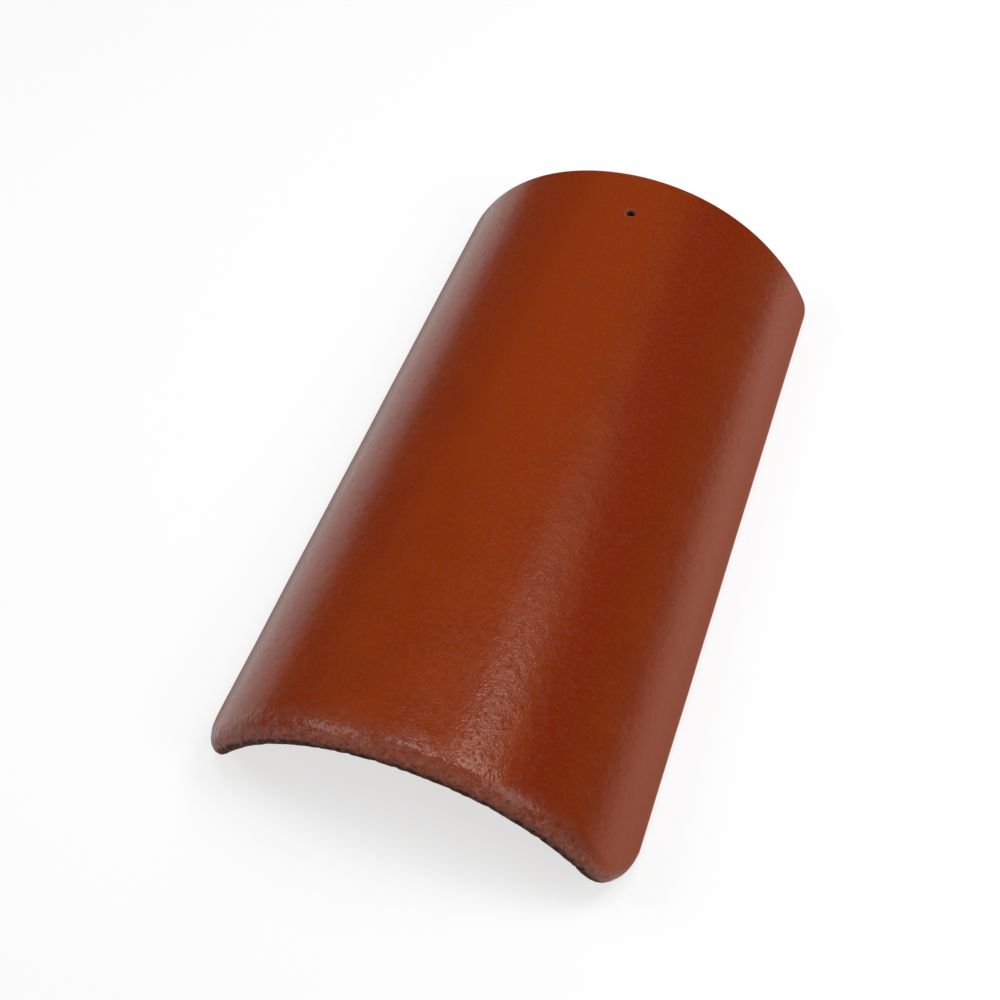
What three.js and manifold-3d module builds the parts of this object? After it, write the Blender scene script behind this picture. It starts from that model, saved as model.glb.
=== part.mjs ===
import * as THREE from 'three';
import { mergeVertices } from 'three/addons/utils/BufferGeometryUtils.js';
import Module from 'manifold-3d';

// A tapered barrel tile for ridges and hips: one piece of fired clay, an arched wall that is
// wide at its rounded nose and narrower at its square-cut head, where one nail holds it.
// It lies on the flats of its two rims. Millimetres: X across the tile, Y along it from the
// nose to the head, Z up, with the origin on the ground under the middle of the tile.

// The arched wall
const LENGTH = 420; // from nose to head, along the crown
const NOSE_SPAN = 225; // across the hollow from rim to rim, at the nose
const HEAD_SPAN = 205; // the same, at the head
const WALL = 13; // thickness of the clay

// The arch in cross-section: a crown arc that runs on into a flatter arc on each flank
const CROWN_TURN = THREE.MathUtils.degToRad(47); // slope of the wall where the crown arc ends
const RIM_SLOPE = THREE.MathUtils.degToRad(71); // slope of the wall at its rims
const FLANK_FLATNESS = 1.1; // radius of a flank over the radius of the crown

// The edges
const NOSE_DEPTH = 12.5; // how far back the bullnose starts
const NOSE_LIP = 3.5; // rounding under the nose
const NOSE_FLAT = 0.8; // what is left upright between the two roundings
const NOSE_CORNER = 32; // radius of the nose's two corners, along the wall
const HEAD_CORNER = 8; // radius of the head's two corners, along the wall
const HEAD_ARRIS = 1; // rounding of the cut head
const RIM_SHOULDER = 9.5; // how far up the flank the rim's outer rounding starts
const RIM_FLAT = 4; // width of the flat that the tile lies on
const RIM_ARRIS = 1.5; // rounding of the rim's inner edge

// The nail hole, through the crown
const NAIL_HOLE = 5; // diameter
const NAIL_FROM_HEAD = 32; // from the head to the middle of the hole

// Facets
const COLUMNS = 40; // across the arch
const NOSE_CORNER_STEPS = 9;
const RIM_STEPS = 8;
const HEAD_CORNER_STEPS = 4;
const SHOULDER_STEPS = 5; // round the outer edge
const ARRIS_STEPS = 3; // round the inner edge
const HOLE_SIDES = 24;

const QUARTER = Math.PI / 2;
const RIM_SPLAY = WALL / Math.tan(RIM_SLOPE); // how far the level rim reaches past a square one
const RIM_WIDTH = WALL / Math.sin(RIM_SLOPE); // of the level rim, before its edges are rounded

// Radii of the arch at a distance from the nose. The whole arch shrinks in step with its span.
function archAt(along) {
  const span = THREE.MathUtils.lerp(NOSE_SPAN, HEAD_SPAN, along / LENGTH);
  const flankReach = Math.sin(RIM_SLOPE) - Math.sin(CROWN_TURN);
  const crown = span / 2 / (Math.sin(CROWN_TURN) + FLANK_FLATNESS * flankReach);
  const flank = crown * FLANK_FLATNESS;
  const crownArc = crown * CROWN_TURN;
  return { crown, flank, crownArc, halfArc: crownArc + flank * (RIM_SLOPE - CROWN_TURN) };
}

// A point of the wall: its distance from the crown line round the hollow's face, its distance
// from the nose, and its height in the clay above that face. Past a rim the arch runs straight on.
function wallPoint(across, along, height) {
  const arch = archAt(along);
  const arc = Math.min(Math.abs(across), arch.halfArc);
  const past = Math.abs(across) - arc;
  let slope = arc / arch.crown;
  let x = arch.crown * Math.sin(slope);
  let z = arch.crown * (Math.cos(slope) - 1);
  if (arc > arch.crownArc) {
    slope = CROWN_TURN + (arc - arch.crownArc) / arch.flank;
    x = arch.crown * Math.sin(CROWN_TURN) + arch.flank * (Math.sin(slope) - Math.sin(CROWN_TURN));
    z = arch.crown * (Math.cos(CROWN_TURN) - 1) + arch.flank * (Math.cos(slope) - Math.cos(CROWN_TURN));
  }
  x += past * Math.cos(slope) + height * Math.sin(slope);
  z += height * Math.cos(slope) - past * Math.sin(slope);
  return new THREE.Vector3(Math.sign(across) * x, along, z);
}

// Rounds a corner between two points beside it. The result leaves each point along its own side.
function roundCorner(from, corner, to, steps) {
  const weight = Math.SQRT1_2;
  return Array.from({ length: steps + 1 }, (_, step) => {
    const t = step / steps;
    const parts = [(1 - t) ** 2, 2 * weight * t * (1 - t), t ** 2];
    const total = parts[0] + parts[1] + parts[2];
    return new THREE.Vector2()
      .addScaledVector(from, parts[0] / total)
      .addScaledVector(corner, parts[1] / total)
      .addScaledVector(to, parts[2] / total);
  });
}

// The edge's profile, from the outer face round to the hollow's face. x is the reach past the
// hollow's own edge and y the height in the clay. The way the edge faces, 0 at the nose, a
// quarter turn at a rim and a half turn at the head, says which of the three edges it is.
function edgeProfile(facing) {
  const noseShare = THREE.MathUtils.clamp(2 - (2 * facing) / QUARTER, 0, 1);
  const headShare = THREE.MathUtils.clamp(facing / QUARTER - 1, 0, 1);
  const blend = (nose, rim, head) => rim + (nose - rim) * noseShare + (head - rim) * headShare;
  const outerCorner = new THREE.Vector2(blend(0, RIM_SPLAY, 0), WALL);
  const innerCorner = new THREE.Vector2(0, 0);
  const face = innerCorner.clone().sub(outerCorner).normalize();
  const shoulder = blend(NOSE_DEPTH, RIM_SHOULDER, HEAD_ARRIS);
  const shoulderFall = blend(WALL - NOSE_LIP - NOSE_FLAT, RIM_WIDTH - RIM_FLAT - RIM_ARRIS, HEAD_ARRIS);
  const arris = blend(NOSE_LIP, RIM_ARRIS, HEAD_ARRIS);
  const outer = roundCorner(
    outerCorner.clone().add(new THREE.Vector2(-shoulder, 0)),
    outerCorner,
    outerCorner.clone().addScaledVector(face, shoulderFall),
    SHOULDER_STEPS,
  );
  const inner = roundCorner(
    innerCorner.clone().addScaledVector(face, -arris),
    innerCorner,
    innerCorner.clone().add(new THREE.Vector2(-arris, 0)),
    ARRIS_STEPS,
  );
  return [...outer, ...inner];
}

// One end of a cross-row: where the wall's edge stands on one side, and the way it faces.
function cornerStation(radius, cornerAlong, facing) {
  const along = cornerAlong - radius * Math.cos(facing);
  return { across: archAt(along).halfArc - radius * (1 - Math.sin(facing)), along, facing };
}

function sideStations() {
  const stations = [];
  for (let step = 0; step <= NOSE_CORNER_STEPS; step += 1) {
    stations.push(cornerStation(NOSE_CORNER, NOSE_CORNER, (QUARTER * step) / NOSE_CORNER_STEPS));
  }
  for (let step = 1; step < RIM_STEPS; step += 1) {
    const along = THREE.MathUtils.lerp(NOSE_CORNER, LENGTH - HEAD_CORNER, step / RIM_STEPS);
    stations.push(cornerStation(0, along, QUARTER));
  }
  for (let step = 0; step <= HEAD_CORNER_STEPS; step += 1) {
    const facing = QUARTER + (QUARTER * step) / HEAD_CORNER_STEPS;
    stations.push(cornerStation(HEAD_CORNER, LENGTH - HEAD_CORNER, facing));
  }
  return stations;
}

// The points of the edge's profile at a station, and where each of them stands on the wall.
function edgePoints(station, side) {
  return edgeProfile(station.facing).map((corner) => ({
    across: side * (station.across + corner.x * Math.sin(station.facing)),
    along: station.along - corner.x * Math.cos(station.facing),
    height: corner.y,
  }));
}

// One face of the wall, as rows of points. Each row runs between the edge points at its ends.
function wallFace(stations, pick) {
  return stations.map((station) => {
    const left = edgePoints(station, -1).at(pick);
    const right = edgePoints(station, 1).at(pick);
    return Array.from({ length: COLUMNS + 1 }, (_, column) => ({
      across: THREE.MathUtils.lerp(left.across, right.across, column / COLUMNS),
      along: left.along,
      height: left.height,
    }));
  });
}

// The edge, all the way round the tile: along the nose, up the right rim, back along the head
// and down the left rim.
function edgeRing(stations) {
  const endRow = (station) => {
    const left = edgePoints(station, -1);
    const right = edgePoints(station, 1);
    return Array.from({ length: COLUMNS + 1 }, (_, column) =>
      left.map((point, index) => ({
        across: THREE.MathUtils.lerp(point.across, right[index].across, column / COLUMNS),
        along: point.along,
        height: point.height,
      })),
    );
  };
  const sides = stations.slice(1, -1);
  return [
    ...endRow(stations[0]),
    ...sides.map((station) => edgePoints(station, 1)),
    ...endRow(stations.at(-1)).reverse(),
    ...sides.map((station) => edgePoints(station, -1)).reverse(),
  ];
}

function addQuads(positions, rows) {
  const corners = rows.map((row) => row.map((p) => wallPoint(p.across, p.along, p.height)));
  for (let r = 1; r < corners.length; r += 1) {
    for (let c = 1; c < corners[r].length; c += 1) {
      const a = corners[r - 1][c - 1];
      const b = corners[r - 1][c];
      const d = corners[r][c];
      const e = corners[r][c - 1];
      positions.push(...a, ...b, ...d, ...a, ...d, ...e);
    }
  }
}

function shellGeometry() {
  const stations = sideStations();
  const positions = [];
  addQuads(positions, wallFace(stations, 0));
  addQuads(positions, wallFace(stations, -1).reverse());
  const ring = edgeRing(stations);
  addQuads(positions, [ring.at(-1), ...ring]);
  const geometry = new THREE.BufferGeometry();
  geometry.setAttribute('position', new THREE.Float32BufferAttribute(positions, 3));
  return geometry;
}

function nailHoleGeometry() {
  const depth = 3 * WALL;
  const geometry = new THREE.CylinderGeometry(NAIL_HOLE / 2, NAIL_HOLE / 2, depth, HOLE_SIDES);
  geometry.rotateX(QUARTER);
  geometry.translate(0, LENGTH - NAIL_FROM_HEAD, WALL / 2);
  return geometry;
}

const wasm = await Module();
wasm.setup();

function toSolid(geometry) {
  geometry.deleteAttribute('normal');
  geometry.deleteAttribute('uv');
  const merged = mergeVertices(geometry);
  const vertProperties = new Float32Array(merged.attributes.position.array);
  const triVerts = new Uint32Array(merged.index.array);
  return new wasm.Manifold(new wasm.Mesh({ numProp: 3, vertProperties, triVerts }));
}

function toGeometry(solid) {
  const { vertProperties, triVerts } = solid.getMesh();
  const geometry = new THREE.BufferGeometry();
  geometry.setAttribute('position', new THREE.BufferAttribute(vertProperties, 3));
  geometry.setIndex(new THREE.BufferAttribute(triVerts, 1));
  geometry.computeVertexNormals();
  return geometry;
}

const pierced = toSolid(shellGeometry()).subtract(toSolid(nailHoleGeometry()));
const clay = new THREE.MeshStandardMaterial({ color: 0x89301a, roughness: 0.45, metalness: 0 });
const tile = new THREE.Mesh(toGeometry(pierced), clay);
tile.name = 'barrel_tile';

// The head's arch is lower than the nose's, so the tile tips forward from its level crown until
// both rims lie flat on the ground.
const noseRise = -wallPoint(archAt(0).halfArc, 0, 0).z;
const headRise = -wallPoint(archAt(LENGTH).halfArc, LENGTH, 0).z;
const tip = Math.atan((noseRise - headRise) / LENGTH);
tile.rotation.x = -tip;
tile.position.z = noseRise * Math.cos(tip);
tile.position.y = -new THREE.Box3().setFromObject(tile, true).getCenter(new THREE.Vector3()).y;

const group = new THREE.Group();
group.add(tile);

export default group;
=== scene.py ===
import math

import bmesh
import bpy
from mathutils import Euler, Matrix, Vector, noise


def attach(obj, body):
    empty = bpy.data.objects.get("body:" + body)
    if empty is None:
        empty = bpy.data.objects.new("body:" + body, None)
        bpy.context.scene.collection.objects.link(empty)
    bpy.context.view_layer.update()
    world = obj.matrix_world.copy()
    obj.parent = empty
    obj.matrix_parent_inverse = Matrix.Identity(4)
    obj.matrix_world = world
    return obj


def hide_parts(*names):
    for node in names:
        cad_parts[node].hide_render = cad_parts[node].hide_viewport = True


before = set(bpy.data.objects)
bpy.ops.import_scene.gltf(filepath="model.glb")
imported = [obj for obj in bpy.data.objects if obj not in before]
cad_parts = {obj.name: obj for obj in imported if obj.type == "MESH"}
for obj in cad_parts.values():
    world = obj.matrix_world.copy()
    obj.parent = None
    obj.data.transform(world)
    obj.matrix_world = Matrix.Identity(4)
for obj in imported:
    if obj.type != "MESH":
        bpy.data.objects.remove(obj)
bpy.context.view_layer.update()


# ---------------------------------------------------------------------------
# The tile: one bat of clay, rolled out 13 mm thick and bent over a tapered former while it
# is soft. Its nose is rounded over and sanded by hand, its head is cut square, its rims are
# trimmed level so that it lies on them, and a nail hole is pricked near the head.
# ---------------------------------------------------------------------------
LENGTH = 0.420
NOSE_SPAN = 0.225
HEAD_SPAN = 0.205
WALL = 0.013
CROWN_TURN = math.radians(47)
RIM_SLOPE = math.radians(71)
FLANK_FLATNESS = 1.1

NOSE_DEPTH = 0.0125
NOSE_LIP = 0.0035
NOSE_FLAT = 0.0008
NOSE_CORNER = 0.032
HEAD_CORNER = 0.008
HEAD_ARRIS = 0.001
RIM_SHOULDER = 0.0095
RIM_FLAT = 0.004
RIM_ARRIS = 0.0015

NAIL_HOLE = 0.005
NAIL_FROM_HEAD = 0.032

COLUMNS = 184
NOSE_CORNER_ROWS = 24
NOSE_ROW_SPREAD = 0.7  # below 1, it opens out the first rows, which the corner would crowd
RIM_ROWS = 150
HEAD_CORNER_ROWS = 8
SHOULDER_STEPS = 16
EDGE_FACE_STEPS = 4
ARRIS_STEPS = 5
QUARTER = math.pi / 2


def mix(a, b, share):
    return a + (b - a) * share


def ease(value, start, end):
    """0 before start, 1 past end, and a smooth rise between them."""
    t = min(1, max(0, (value - start) / (end - start)))
    return t * t * (3 - 2 * t)


def fade(value, start, end):
    """1 before start, 0 past end, and a smooth fall between them."""
    return 1 - ease(value, start, end)


def arch_at(along):
    """Radii of the crown and of a flank, the crown's arc and half the whole arc."""
    span = mix(NOSE_SPAN, HEAD_SPAN, along / LENGTH)
    flank_reach = math.sin(RIM_SLOPE) - math.sin(CROWN_TURN)
    crown = span / 2 / (math.sin(CROWN_TURN) + FLANK_FLATNESS * flank_reach)
    flank = crown * FLANK_FLATNESS
    crown_arc = crown * CROWN_TURN
    return crown, flank, crown_arc, crown_arc + flank * (RIM_SLOPE - CROWN_TURN)


def half_arc_at(along):
    return arch_at(along)[3]


def round_corner(start, corner, end, steps):
    """Points round a corner, from a point before it to a point after it."""
    weight = math.sqrt(0.5)
    points = []
    for step in range(steps + 1):
        t = step / steps
        parts = (1 - t) ** 2, 2 * weight * t * (1 - t), t**2
        points.append((start * parts[0] + corner * parts[1] + end * parts[2]) / sum(parts))
    return points


def edge_profile(facing):
    """The worked edge, from the outer face round to the hollow, as reach and height.

    The way the edge faces is 0 at the nose, a quarter turn at a rim and a half turn at the head.
    """
    nose_share = min(1, max(0, 2 - 2 * facing / QUARTER))
    head_share = min(1, max(0, facing / QUARTER - 1))

    def blend(nose, rim, head):
        return rim + (nose - rim) * nose_share + (head - rim) * head_share

    outer_corner = Vector((blend(0, WALL / math.tan(RIM_SLOPE), 0), WALL))
    inner_corner = Vector((0, 0))
    fall = (inner_corner - outer_corner).normalized()
    rim_fall = WALL / math.sin(RIM_SLOPE) - RIM_FLAT - RIM_ARRIS
    shoulder = blend(NOSE_DEPTH, RIM_SHOULDER, HEAD_ARRIS)
    shoulder_fall = blend(WALL - NOSE_LIP - NOSE_FLAT, rim_fall, HEAD_ARRIS)
    arris = blend(NOSE_LIP, RIM_ARRIS, HEAD_ARRIS)
    shoulder_start = outer_corner + Vector((-shoulder, 0))
    shoulder_end = outer_corner + fall * shoulder_fall
    arris_start = inner_corner - fall * arris
    arris_end = inner_corner + Vector((-arris, 0))
    outer = round_corner(shoulder_start, outer_corner, shoulder_end, SHOULDER_STEPS)
    inner = round_corner(arris_start, inner_corner, arris_end, ARRIS_STEPS)
    face = [
        outer[-1].lerp(inner[0], step / EDGE_FACE_STEPS) for step in range(1, EDGE_FACE_STEPS)
    ]
    return outer + face + inner


def side_station(radius, corner_along, facing):
    """Where the edge stands at the end of a row of the bat, and the way it faces."""
    along = corner_along - radius * math.cos(facing)
    return half_arc_at(along) - radius * (1 - math.sin(facing)), along, facing


stations = []
for step in range(NOSE_CORNER_ROWS + 1):
    facing = QUARTER * (step / NOSE_CORNER_ROWS) ** NOSE_ROW_SPREAD
    stations.append(side_station(NOSE_CORNER, NOSE_CORNER, facing))
for step in range(1, RIM_ROWS):
    along = mix(NOSE_CORNER, LENGTH - HEAD_CORNER, step / RIM_ROWS)
    stations.append(side_station(0, along, QUARTER))
for step in range(HEAD_CORNER_ROWS + 1):
    facing = QUARTER + QUARTER * step / HEAD_CORNER_ROWS
    stations.append(side_station(HEAD_CORNER, LENGTH - HEAD_CORNER, facing))

edge_points = [
    [
        (across + p.x * math.sin(facing), along - p.x * math.cos(facing), p.y)
        for p in edge_profile(facing)
    ]
    for across, along, facing in stations
]
last_row = len(stations) - 1
last_ring = len(edge_points[0]) - 1

# The flat bat: its two faces are grids, and the edge is drawn down ring by ring between them.
bat = bmesh.new()
bmesh.ops.create_grid(bat, x_segments=COLUMNS, y_segments=last_row, size=0.5)
row_of = bat.verts.layers.int.new("row")
column_share = bat.verts.layers.float.new("column_share")
for v in bat.verts:
    v[column_share] = 2 * v.co.x
    v[row_of] = round((v.co.y + 0.5) * last_row)


def lay_ring(verts, ring):
    for v in verts:
        across, along, height = edge_points[v[row_of]][ring]
        v.co = across * v[column_share], along, height


copied = bmesh.ops.duplicate(bat, geom=bat.faces[:])["geom"]
hollow_faces = [g for g in copied if isinstance(g, bmesh.types.BMFace)]
hollow_verts = {v for f in hollow_faces for v in f.verts}
bmesh.ops.reverse_faces(bat, faces=hollow_faces)
lay_ring(hollow_verts, last_ring)
lay_ring([v for v in bat.verts if v not in hollow_verts], 0)
ring_edges = [e for e in bat.edges if e.is_boundary and e.verts[0] not in hollow_verts]
for ring in range(1, last_ring + 1):
    drawn = bmesh.ops.extrude_edge_only(bat, edges=ring_edges)["geom"]
    lay_ring([g for g in drawn if isinstance(g, bmesh.types.BMVert)], ring)
    ring_edges = [g for g in drawn if isinstance(g, bmesh.types.BMEdge) and g.is_boundary]
bmesh.ops.remove_doubles(bat, verts=bat.verts[:], dist=1e-6)
bmesh.ops.recalc_face_normals(bat, faces=bat.faces[:])

# The nail hole is pricked through the bat: burred where the pin goes in, torn where it leaves.
HOLE_RADIUS = NAIL_HOLE / 2
HOLE_SURROUND = 0.009  # the mesh is made finer this near to the hole
CUT_OUT = 1.2  # in radii of the hole: faces this near are cut out for it
BORE_WALL = 1.01  # in radii of the hole: points this near are on its wall
BORE_CUTS = 9
BURR = 0.0006
BURR_DEPTH = 0.0011
TEAR = 0.0006
TEAR_DEPTH = 0.0022
TEARS_ROUND_HOLE = 1.7
hole_middle = Vector((0, LENGTH - NAIL_FROM_HEAD))


def from_hole(place):
    return (place.xy - hole_middle).length


around = {f for f in bat.faces if from_hole(f.calc_center_median()) < HOLE_SURROUND}
around_edges = [e for e in bat.edges if not around.isdisjoint(e.link_faces)]
bmesh.ops.subdivide_edges(bat, edges=around_edges, cuts=1, use_grid_fill=True)
pricked = [f for f in bat.faces if from_hole(f.calc_center_median()) < HOLE_RADIUS * CUT_OUT]
bmesh.ops.delete(bat, geom=pricked, context="FACES")
mouth_edges = [e for e in bat.edges if e.is_boundary]
for v in {v for e in mouth_edges for v in e.verts}:
    outward = (v.co.xy - hole_middle).normalized()
    v.co.xy = hole_middle + outward * HOLE_RADIUS
bore = bmesh.ops.bridge_loops(bat, edges=mouth_edges)
bmesh.ops.subdivide_edges(bat, edges=bore["edges"], cuts=BORE_CUTS)
for v in bat.verts:
    if from_hole(v.co) < HOLE_RADIUS * BORE_WALL:
        outward = (v.co.xy - hole_middle).normalized()
        burr = BURR * fade(WALL - v.co.z, 0, BURR_DEPTH)
        ragged_tear = 1 + noise.noise(outward.to_3d() * TEARS_ROUND_HOLE)
        tear = TEAR * fade(v.co.z, 0, TEAR_DEPTH) * ragged_tear
        v.co.xy = hole_middle + outward * (HOLE_RADIUS + burr + tear)

# How each point of the bat is finished, and where light and shade are painted on it, from its
# place before the bat is bent. Each pair of numbers says where a mark starts to change and where
# it
# has changed: in metres from the nose, from the nearer rim, from the crown line (the left is
# minus), up through the wall or down the nail hole, and round a corner as a share of its turn
# from rim to nose.
SANDED_BACK_AT_RIM = 0.010
SANDED_BACK_AT_CROWN = 0.022
SANDED_RIM_TO_CROWN = (0.015, 0.060)
SANDED_SLANT = 0.035  # the left is sanded further back
SANDED_FULLY = 0.3  # share of the way back that is sanded all over
SANDED_ROUND_CORNER = (0.35, 0.85)
LIP_ROUND_CORNER = (0.1, 0.6)
LIP_FROM_NOSE = (0.0025, 0.0080)
SHADE_FROM_NOSE = (0.003, 0.008)
SHADE_FOOT = (0.0002, 0.0018)
SHADE_TOP = (0.0045, 0.0115)
LEFT_TO_RIGHT = (-0.02, 0.02)
LEFT_FLANK = (0.055, 0.085)
RIGHT_FLANK = (0.026, 0.048)
SHEEN_FROM_RIM = (0.026, 0.048)
LEFT_BROWN_FROM_RIM = (0.024, 0.048)
POLISHED = (0.036, 0.056)
PALE_TO_HEAD = (0.18, 0.30)
PALE_LEFT_AT_NOSE = (-0.045, -0.015)
PALE_LEFT_AT_HEAD = (-0.085, -0.035)
PALE_RIGHT = (0.002, 0.034)
PALE_FROM_NOSE = (0.08, 0.26)
PALE_AT_NOSE = 0.1  # strength there, of 1
SHADE_BAND_FROM_RIM = (0.054, 0.084)
SHADE_BAND_TO_AT_NOSE = 0.088
SHADE_BAND_TO_AT_HEAD = 0.099
SHADE_BAND_TO_HEAD = (0.12, 0.26)
SHADE_BAND_FADE = 0.014
SHADE_BAND_ON_LEFT = 0.35  # strength there, of 1
RIM_WORN = (0.004, 0.036)
BARE_UP_EDGE = (0.0008, 0.0045)
TRIM_FROM_RIM = (0.0, 0.006)
TRIM_UP_EDGE = (0.002, 0.010)
BORE_BARE = (0.0006, 0.0016)
BORE_DARK_FROM = (0.0006, 0.0030)
BORE_DARK_TO = (0.0005, 0.0040)

nose_sanding = bat.verts.layers.float.new("nose_sanding")
lip_and_bore_shade = bat.verts.layers.float.new("lip_and_bore_shade")
bare_clay = bat.verts.layers.float.new("bare_clay")
rim_trim = bat.verts.layers.float.new("rim_trim")
lip_rub = bat.verts.layers.float.new("lip_rub")
flank = bat.verts.layers.float.new("flank")
right_flank_sheen = bat.verts.layers.float.new("right_flank_sheen")
shade_band = bat.verts.layers.float.new("shade_band")
crown_light = bat.verts.layers.float.new("crown_light")
left_flank_brown = bat.verts.layers.float.new("left_flank_brown")
polish = bat.verts.layers.float.new("polish")
rim_wear = bat.verts.layers.float.new("rim_wear")
for v in bat.verts:
    half_arc = half_arc_at(min(LENGTH, max(0, v.co.y)))
    from_rim = half_arc - abs(v.co.x)
    from_nose = v.co.y
    past_corner = NOSE_CORNER - from_rim
    before_corner = NOSE_CORNER - v.co.y
    turned = 1
    if past_corner > 0 and before_corner > 0:
        from_nose = NOSE_CORNER - math.hypot(past_corner, before_corner)
        turned = math.atan2(before_corner, past_corner) / QUARTER
    faces_nose = ease(turned, *LIP_ROUND_CORNER)
    to_right = ease(v.co.x, *LEFT_TO_RIGHT)
    to_left = 1 - to_right

    to_crown = ease(from_rim, *SANDED_RIM_TO_CROWN)
    sanded_back = mix(SANDED_BACK_AT_RIM, SANDED_BACK_AT_CROWN, to_crown) - SANDED_SLANT * v.co.x
    v[nose_sanding] = fade(from_nose, SANDED_FULLY * sanded_back, sanded_back)
    v[nose_sanding] *= ease(turned, *SANDED_ROUND_CORNER)
    v[lip_rub] = fade(from_nose, *LIP_FROM_NOSE) * faces_nose
    # Painted shade: the nose's lip, where it turns down away from the light, is marked to be
    # painted dark.
    v[lip_and_bore_shade] = ease(v.co.z, *SHADE_FOOT) * fade(v.co.z, *SHADE_TOP)
    v[lip_and_bore_shade] *= fade(from_nose, *SHADE_FROM_NOSE) * faces_nose

    v[flank] = mix(fade(from_rim, *LEFT_FLANK), fade(from_rim, *RIGHT_FLANK), to_right)
    # Painted sheen: the right flank is painted lighter and warmer.
    v[right_flank_sheen] = fade(from_rim, *SHEEN_FROM_RIM) * to_right
    # The left flank's slip is coloured browner and duller.
    v[left_flank_brown] = fade(from_rim, *LEFT_BROWN_FROM_RIM) * to_left
    v[polish] = fade(from_rim, *POLISHED) * to_left
    # Painted light: the crown around and left of the crown line is painted lighter, more so
    # towards the head.
    pale_to_head = ease(from_nose, *PALE_TO_HEAD)
    pale_left = [
        mix(at_nose, at_head, pale_to_head)
        for at_nose, at_head in zip(PALE_LEFT_AT_NOSE, PALE_LEFT_AT_HEAD)
    ]
    v[crown_light] = ease(v.co.x, *pale_left) * fade(v.co.x, *PALE_RIGHT)
    v[crown_light] *= mix(PALE_AT_NOSE, 1, ease(from_nose, *PALE_FROM_NOSE))
    # Painted shade: a darker band along the slopes between the crown and the flanks, weaker on
    # the left.
    shade_band_to = mix(SHADE_BAND_TO_AT_NOSE, SHADE_BAND_TO_AT_HEAD, ease(from_nose, *SHADE_BAND_TO_HEAD))
    v[shade_band] = ease(from_rim, *SHADE_BAND_FROM_RIM)
    v[shade_band] *= fade(from_rim, shade_band_to, shade_band_to + SHADE_BAND_FADE)
    v[shade_band] *= mix(SHADE_BAND_ON_LEFT, 1, to_right)

    v[rim_wear] = fade(from_rim, *RIM_WORN)
    v[bare_clay] = fade(v.co.z, *BARE_UP_EDGE)
    v[rim_trim] = fade(from_rim, *TRIM_FROM_RIM) * fade(v.co.z, *TRIM_UP_EDGE)
    if from_hole(v.co) < NAIL_HOLE:
        down_hole = WALL - v.co.z
        v[bare_clay] = ease(down_hole, *BORE_BARE)
        # Painted shade down the nail hole: its wall is marked to be painted dark below the
        # mouth.
        v[lip_and_bore_shade] = ease(down_hole, *BORE_DARK_FROM) * ease(v.co.z, *BORE_DARK_TO)


def bend_over_former(place):
    """Where a point of the flat bat goes when the bat is bent over the former."""
    crown, flank, crown_arc, half_arc = arch_at(place.y)
    arc = min(abs(place.x), half_arc)
    past = abs(place.x) - arc
    if arc <= crown_arc:
        slope = arc / crown
        x = crown * math.sin(slope)
        z = crown * (math.cos(slope) - 1)
    else:
        slope = CROWN_TURN + (arc - crown_arc) / flank
        x = crown * math.sin(CROWN_TURN) + flank * (math.sin(slope) - math.sin(CROWN_TURN))
        z = crown * (math.cos(CROWN_TURN) - 1) + flank * (math.cos(slope) - math.cos(CROWN_TURN))
    x += past * math.cos(slope) + place.z * math.sin(slope)
    z += place.z * math.cos(slope) - past * math.sin(slope)
    return Vector((math.copysign(x, place.x), place.y, z))


for v in bat.verts:
    v.co = bend_over_former(v.co)

# The head's arch is the lower one, so the tile tips forward until both rims lie flat.
nose_rise = -bend_over_former(Vector((half_arc_at(0), 0, 0))).z
head_rise = -bend_over_former(Vector((half_arc_at(LENGTH), LENGTH, 0))).z
tip = math.atan((nose_rise - head_rise) / LENGTH)
bmesh.ops.rotate(bat, verts=bat.verts[:], matrix=Euler((-tip, 0, 0)).to_matrix())
ends = [v.co.y for v in bat.verts]
middle = (min(ends) + max(ends)) / 2
bmesh.ops.translate(bat, verts=bat.verts[:], vec=(0, -middle, nose_rise * math.cos(tip)))

# What the hand, the former and the fire leave: long low waves, a grainy sanded nose, nicks
# under the lip and an uneven trimmed rim. Each only takes clay away, so the tile keeps its size,
# and none touches the flats that it lies on. Each pair is how deep it goes and how far apart.
WAVES = (0.00022, 0.055)
RIPPLES = (0.00004, 0.013)
NOSE_GRAINS = ((0.00020, 0.0034), (0.00012, 0.0017))
NICKS = (0.0016, 0.0042)
NICKS_LEFT_OUT = 0.08
TRIM_MARKS = (0.0008, 0.0085)
FACES_DOWN = (0.90, 0.97)
OFF_GROUND = (0.0002, 0.001)


def lumps(deep, apart, place, shift=(0, 0, 0)):
    """Soft lumps all over the clay, from nothing to twice this deep."""
    return deep * (1 + noise.noise(place / apart + Vector(shift)))


def pits(deep, apart, place, shift, left_out=0):
    """Scattered pits with whole clay between them."""
    return deep * max(0, noise.noise(place / apart + Vector(shift)) - left_out)


bat.normal_update()
for v in bat.verts:
    p = v.co
    on_flat = ease(-v.normal.z, *FACES_DOWN) * fade(p.z, *OFF_GROUND)
    taken = lumps(*WAVES, p) + lumps(*RIPPLES, p, (3, 0, 0))
    taken += v[nose_sanding] * sum(lumps(*grain, p) for grain in NOSE_GRAINS)
    taken += v[lip_and_bore_shade] * pits(*NICKS, p, (0, 7, 0), NICKS_LEFT_OUT)
    taken += v[rim_trim] * pits(*TRIM_MARKS, p, (0, 0, 5))
    p -= v.normal * taken * (1 - on_flat)
    p.z = max(p.z, 0)

for f in bat.faces:
    f.smooth = True
bat.verts.layers.int.remove(bat.verts.layers.int["row"])
bat.verts.layers.float.remove(bat.verts.layers.float["column_share"])
tile_mesh = bpy.data.meshes.new("roof_tile")
bat.to_mesh(tile_mesh)
bat.free()
tile = bpy.data.objects.new("roof_tile", tile_mesh)
bpy.context.scene.collection.objects.link(tile)

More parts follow.
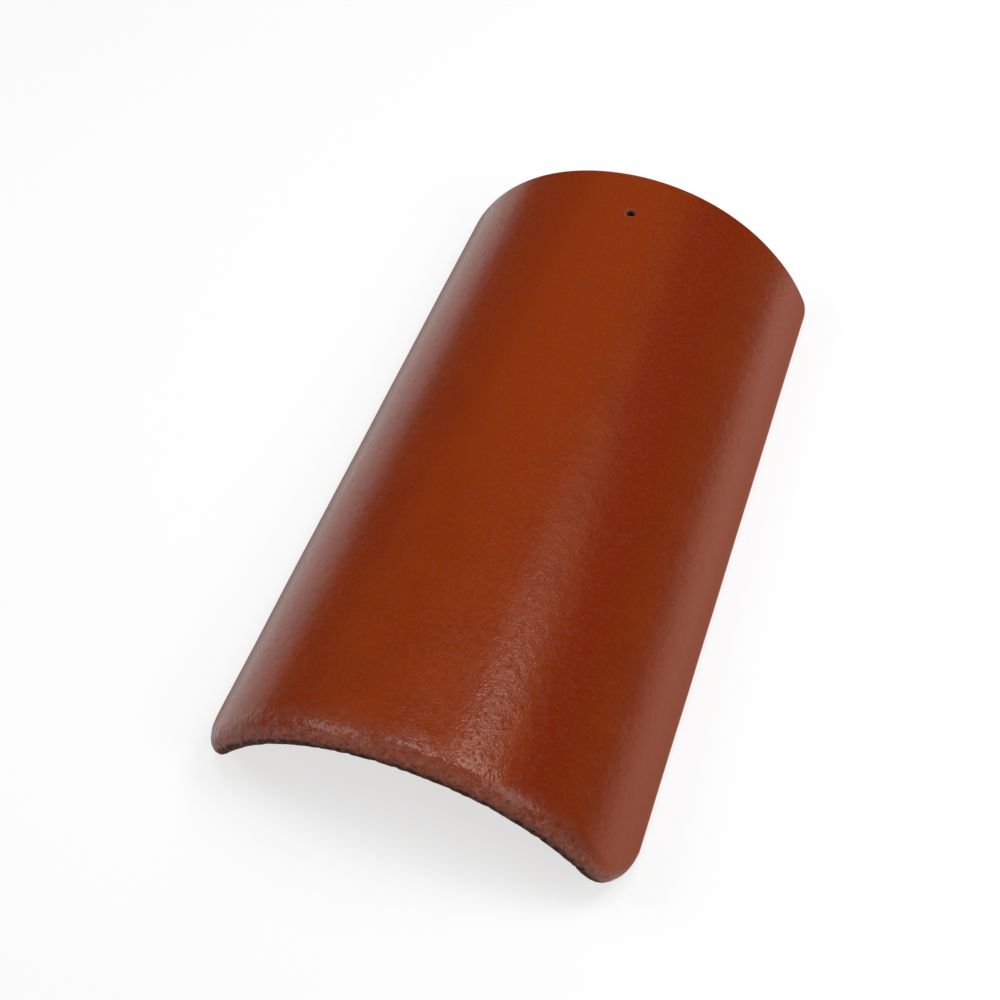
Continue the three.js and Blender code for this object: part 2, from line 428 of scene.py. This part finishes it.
# The finish: an iron-red slip over buff-red clay, burnt to a soft sheen. Light and shade are
# painted into it: a painted sheen on the right flank, a band of painted shade above it, painted
# light on the crown towards the head, and painted shade under the nose's lip and down the nail
# hole. The left flank is a browner, duller red. Its face has a grain and small pores, and the
# nose is sanded and rubbed pale on its lip. The hollow, the foot of the edges and the nail hole
# are bare clay.
clay = bpy.data.materials.new("fired_clay")
clay.use_nodes = True
nodes, links = clay.node_tree.nodes, clay.node_tree.links
shader = nodes["Principled BSDF"]
place = nodes.new("ShaderNodeTexCoord").outputs["Object"]


def cloud(size, detail, roughness=0.5):
    """Noise whose lumps are about this many metres across."""
    texture = nodes.new("ShaderNodeTexNoise")
    texture.inputs["Scale"].default_value = 1 / size
    texture.inputs["Detail"].default_value = detail
    texture.inputs["Roughness"].default_value = roughness
    links.new(place, texture.inputs["Vector"])
    return texture.outputs["Fac"]


def spread(value, low, high, to_low, to_high, kind="LINEAR"):
    """The value's range from low to high, stretched to another range and cut off at its ends."""
    node = nodes.new("ShaderNodeMapRange")
    node.interpolation_type = kind
    node.inputs["From Min"].default_value = low
    node.inputs["From Max"].default_value = high
    node.inputs["To Min"].default_value = to_low
    node.inputs["To Max"].default_value = to_high
    links.new(value, node.inputs["Value"])
    return node.outputs["Result"]


def reckon(operation, *values):
    """One arithmetic step on values that change over the surface, or stay the same."""
    node = nodes.new("ShaderNodeMath")
    node.operation = operation
    for socket, value in zip(node.inputs, values):
        if isinstance(value, float):
            socket.default_value = value
        else:
            links.new(value, socket)
    return node.outputs["Value"]


def times(a, b):
    return reckon("MULTIPLY", a, b)


def grains(size):
    """Round grains of this spacing in metres, 1 on top and 0 between them, of mixed heights."""
    grain_reach, left_flat = 0.42, 0.2
    cells = nodes.new("ShaderNodeTexVoronoi")
    cells.inputs["Scale"].default_value = 1 / size
    links.new(place, cells.inputs["Vector"])
    heights = nodes.new("ShaderNodeSeparateColor")
    links.new(cells.outputs["Color"], heights.inputs["Color"])
    dome = spread(cells.outputs["Distance"], 0, grain_reach, 1, 0, "SMOOTHSTEP")
    return times(dome, spread(heights.outputs["Red"], left_flat, 1, 0, 1))


def laid_over(share, under, over, data_type="FLOAT"):
    """One colour or roughness over another, as far as the share goes."""
    node = nodes.new("ShaderNodeMix")
    node.data_type = data_type
    links.new(share, node.inputs["Factor"])
    for socket, value in (("A", under), ("B", over)):
        if isinstance(value, bpy.types.NodeSocket):
            links.new(value, node.inputs[socket])
        else:
            node.inputs[socket].default_value = value
    return node.outputs["Result"]


def painted(share, under, over):
    colours = [(*c, 1) if isinstance(c, tuple) else c for c in (under, over)]
    return laid_over(share, *colours, "RGBA")


def finish_of(name):
    """One of the masks laid on the bat: a finish of the tile, or a place where light and shade
    are painted.
    """
    node = nodes.new("ShaderNodeAttribute")
    node.attribute_name = name
    return node.outputs["Fac"]


SLIP_DARK = (0.231, 0.0281, 0.0020)
SLIP_LIGHT = (0.257, 0.0325, 0.0024)
SPECK = (0.135, 0.0150, 0.0020)
# Painted shade, the darker colour of the band along the slopes.
SLIP_SHADED = (0.219, 0.0211, 0.0017)
# Painted sheen, the lighter colour of the right flank.
PAINTED_SHEEN = (0.300, 0.0438, 0.0042)
# Painted light, the lighter colour of the crown towards the head.
PAINTED_LIGHT = (0.268, 0.0332, 0.0024)
# The browner, duller slip of the left flank.
SLIP_BROWN = (0.205, 0.0330, 0.0060)
LIP_SAND = (0.370, 0.1400, 0.0980)
SAND = (0.262, 0.0760, 0.0500)
GRIT_PALE = (0.420, 0.1900, 0.1300)
GRIT_DARK = (0.085, 0.0170, 0.0100)
# The colour of the painted shade under the nose's lip and down the nail hole.
PAINTED_SHADE = (0.050, 0.0110, 0.0060)
BODY_DARK = (0.300, 0.0950, 0.0370)
BODY_LIGHT = (0.420, 0.1550, 0.0680)

SLIP_CLOUDS = 0.030
PORES = 0.0022
SAND_PATCHES = 0.0040
GRIT = 0.0021
RUBBED_PATCHES = 0.0030
SAND_PITS = 0.0020
BODY_MOTTLE = 0.0050
SHADE_RAGS = 0.0030
SPECK_SHARE = 0.20
FLANK_GRAIN = 0.3  # how much of the crown's grain the smoother flanks have

sanding = finish_of("nose_sanding")
shade = finish_of("lip_and_bore_shade")
bare = finish_of("bare_clay")

slip = painted(spread(cloud(SLIP_CLOUDS, 3), 0.35, 0.65, 0, 1), SLIP_DARK, SLIP_LIGHT)
# Painted light on the crown, laid over the slip.
slip = painted(finish_of("crown_light"), slip, PAINTED_LIGHT)
# Painted sheen on the right flank, laid over the slip.
slip = painted(finish_of("right_flank_sheen"), slip, PAINTED_SHEEN)
slip = painted(finish_of("left_flank_brown"), slip, SLIP_BROWN)
# Painted shade along the slopes, laid over the slip.
slip = painted(finish_of("shade_band"), slip, SLIP_SHADED)
grainy = spread(finish_of("flank"), 0, 1, 1, FLANK_GRAIN)
pores = times(grainy, spread(cloud(PORES, 2, 0.65), 0.54, 0.64, 0, 1))
slip = painted(spread(pores, 0, 1, 0, SPECK_SHARE), slip, SPECK)
sand_share = times(sanding, spread(cloud(SAND_PATCHES, 4, 0.65), 0.36, 0.60, 0.1, 0.85))
slip = painted(sand_share, slip, SAND)
grit_share = times(sanding, spread(grains(GRIT), 0.50, 0.95, 0, 0.6))
slip = painted(grit_share, slip, GRIT_PALE)
rubbed = spread(cloud(RUBBED_PATCHES, 4, 0.7), 0.40, 0.62, 0.08, 0.80)
slip = painted(times(finish_of("lip_rub"), rubbed), slip, LIP_SAND)
pit_share = times(sanding, spread(cloud(SAND_PITS, 3, 0.65), 0.48, 0.66, 0, 0.60))
slip = painted(pit_share, slip, GRIT_DARK)
body = painted(spread(cloud(BODY_MOTTLE, 4, 0.6), 0.3, 0.7, 0, 1), BODY_DARK, BODY_LIGHT)
surface = painted(bare, slip, body)
# Painted shade: a dark ragged line under the nose's lip and down the nail hole.
ragged = spread(cloud(SHADE_RAGS, 4, 0.7), 0.3, 0.7, -0.45, 0.45)
ragged_shade = reckon("ADD", ragged, spread(shade, 0, 1, -0.88, 0.42))
shade_share = spread(ragged_shade, -0.05, 0.40, 0, 0.92)
surface = painted(shade_share, surface, PAINTED_SHADE)
links.new(surface, shader.inputs["Base Color"])

GLOSS_PATCHES = 0.0036
GLOSSIEST = 0.17
DULLEST = 0.29
POLISH_ROUGHNESS = 0.23
PORE_ROUGHNESS = 0.42
SAND_ROUGHNESS = 0.17
WORN_ROUGHNESS = 0.55
RUBBED_ROUGHNESS = 0.45
BARE_ROUGHNESS = 0.85
SHADE_ROUGHNESS = 0.80

roughness = spread(cloud(GLOSS_PATCHES, 3, 0.6), 0.38, 0.62, GLOSSIEST, DULLEST)
roughness = laid_over(finish_of("polish"), roughness, POLISH_ROUGHNESS)
roughness = reckon("MULTIPLY_ADD", pores, PORE_ROUGHNESS, roughness)
roughness = laid_over(sanding, roughness, SAND_ROUGHNESS)
roughness = laid_over(finish_of("rim_wear"), roughness, WORN_ROUGHNESS)
roughness = laid_over(finish_of("lip_rub"), roughness, RUBBED_ROUGHNESS)
roughness = laid_over(bare, roughness, BARE_ROUGHNESS)
roughness = laid_over(shade_share, roughness, SHADE_ROUGHNESS)
links.new(roughness, shader.inputs["Roughness"])
shader.inputs["IOR"].default_value = 1.31
shader.inputs["Specular Tint"].default_value = (1, 0.88, 0.78, 1)

SKIN, SKIN_HEIGHT = 0.0055, 0.00018
FINE_GRAIN, FINE_GRAIN_HEIGHT = 0.0013, 0.00010
NOSE_GRIT, NOSE_GRIT_HEIGHT = 0.0034, 0.00040
NOSE_GRAIN, NOSE_GRAIN_HEIGHT = 0.0027, 0.00032


def raised(share, distance, height, under=None):
    """Relief of this height in metres, on top of the relief under it."""
    node = nodes.new("ShaderNodeBump")
    node.inputs["Distance"].default_value = distance
    links.new(height, node.inputs["Height"])
    links.new(share, node.inputs["Strength"])
    if under:
        links.new(under, node.inputs["Normal"])
    return node.outputs["Normal"]


relief = raised(grainy, SKIN_HEIGHT, cloud(SKIN, 0))
relief = raised(grainy, FINE_GRAIN_HEIGHT, cloud(FINE_GRAIN, 0), relief)
relief = raised(sanding, NOSE_GRIT_HEIGHT, cloud(NOSE_GRIT, 1), relief)
relief = raised(sanding, NOSE_GRAIN_HEIGHT, grains(NOSE_GRAIN), relief)
links.new(relief, shader.inputs["Normal"])

tile_mesh.materials.append(clay)
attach(tile, "root")
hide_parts("barrel_tile")


# ---------------------------------------------------------------------------
# The studio floor: a wide sheet of matt white paper, lit evenly round the tile, that greys away
# past it. It lies a hair under the tile's rims and takes its soft shadow.
# ---------------------------------------------------------------------------
PAPER_WHITE = 0.80
PAPER_SEEN = 0.34
PAPER_LIFT = 0.69
PAPER_FAR = 0.30
PAPER_MIDDLE = (-0.08, 0.10, 0)
PAPER_UNDER_TILE = 0.00015
FLOOR_RADIUS = 3.0
FLOOR_SIDES = 128
WHITE_TO = 0.52  # from the paper's middle
GREY_FROM = 0.61

floor_mesh = bmesh.new()
bmesh.ops.create_circle(floor_mesh, cap_ends=True, segments=FLOOR_SIDES, radius=FLOOR_RADIUS)
bmesh.ops.translate(floor_mesh, verts=floor_mesh.verts[:], vec=(0, 0, -PAPER_UNDER_TILE))
floor_data = bpy.data.meshes.new("paper_floor")
floor_mesh.to_mesh(floor_data)
floor_mesh.free()
floor = bpy.data.objects.new("paper_floor", floor_data)
bpy.context.scene.collection.objects.link(floor)

# The same helpers that made the clay's finish now work on the paper's.
paper = bpy.data.materials.new("white_paper")
paper.use_nodes = True
nodes, links = paper.node_tree.nodes, paper.node_tree.links
place = nodes.new("ShaderNodeTexCoord").outputs["Object"]
paper_shader = nodes["Principled BSDF"]
paper_shader.inputs["Roughness"].default_value = 1.0
paper_shader.inputs["Specular IOR Level"].default_value = 0.0
distance = nodes.new("ShaderNodeVectorMath")
distance.operation = "DISTANCE"
links.new(place, distance.inputs[0])
distance.inputs[1].default_value = PAPER_MIDDLE
whiteness = spread(distance.outputs["Value"], WHITE_TO, GREY_FROM, 1, 0, "SMOOTHSTEP")

# The camera, and the clay's sheen, see the paper as white. To the light it is plain paper.
path = nodes.new("ShaderNodeLightPath")
seen = reckon("MAXIMUM", path.outputs["Is Camera Ray"], path.outputs["Is Glossy Ray"])
seen = reckon("MAXIMUM", seen, path.outputs["Is Transmission Ray"])
near_tone = painted(seen, (PAPER_WHITE,) * 3, (PAPER_SEEN,) * 3)
links.new(painted(whiteness, (PAPER_FAR,) * 3, near_tone), paper_shader.inputs["Base Color"])
lift = spread(times(whiteness, seen), 0, 1, 0, PAPER_LIFT)
links.new(lift, paper_shader.inputs["Emission Strength"])
paper_shader.inputs["Emission Color"].default_value = (1, 1, 1, 1)
floor_data.materials.append(paper)


# ---------------------------------------------------------------------------
# The studio light: a dim room with soft lamps. A long pair hangs level to draw the streak along
# the crown, one hangs straight overhead, one stands at each side and a low one at the back.
# ---------------------------------------------------------------------------
ROOM = 0.08

world = bpy.data.worlds.new("studio")
bpy.context.scene.world = world
world.use_nodes = True
world.node_tree.nodes["Background"].inputs["Color"].default_value = (ROOM, ROOM, ROOM, 1)


def softbox(name, place, width, height, radiance, level=False):
    """A lamp of an even brightness that faces the tile, or hangs level over the floor."""
    lamp = bpy.data.lights.new(name, "AREA")
    lamp.shape = "RECTANGLE"
    lamp.size = width
    lamp.size_y = height
    lamp.energy = radiance * math.pi * width * height
    box = bpy.data.objects.new(name, lamp)
    box.location = place
    box.rotation_mode = "QUATERNION"
    if not level:
        box.rotation_quaternion = Vector(place).to_track_quat("Z", "Y")
    bpy.context.scene.collection.objects.link(box)


softbox("streak_softbox", (0.61, 0.25, 1.4), 0.52, 0.50, radiance=9.2, level=True)
softbox("streak_end_softbox", (0.61, 0.70, 1.4), 0.52, 0.40, radiance=1.9, level=True)
softbox("overhead_softbox", (-0.15, 0.04, 1.6), 0.5, 0.5, radiance=7.4)
softbox("left_softbox", (-1.34, -0.24, 1.34), 0.8, 0.8, radiance=4.7)
softbox("right_softbox", (1.34, -0.35, 1.34), 0.8, 0.8, radiance=3.95)
softbox("back_softbox", (0.0, 1.2, 0.35), 0.9, 0.3, radiance=1.7)


# ---------------------------------------------------------------------------
# The camera stands beyond the nose, a little to the right of the tile, and looks down on it.
# It is turned about the upright, then tilted down from the level, then rolled in its frame.
# ---------------------------------------------------------------------------
CAMERA_PLACE = (0.18074, -0.51379, 0.86470)
CAMERA_TURN = math.radians(21.449)
CAMERA_DOWN = math.radians(56.993)
CAMERA_ROLL = math.radians(-1.706)

camera_data = bpy.data.cameras.new("camera")
camera_data.lens = 61.2
camera_data.sensor_width = 36
camera_data.clip_start = 0.01
camera_data.clip_end = 20
camera = bpy.data.objects.new("camera", camera_data)
bpy.context.scene.collection.objects.link(camera)
camera.location = CAMERA_PLACE
camera.rotation_euler = (
    Euler((0, 0, CAMERA_TURN)).to_matrix()
    @ Euler((QUARTER - CAMERA_DOWN, 0, 0)).to_matrix()
    @ Euler((0, 0, CAMERA_ROLL)).to_matrix()
).to_euler()
bpy.context.scene.camera = camera

bpy.context.scene.view_settings.view_transform = "Standard"
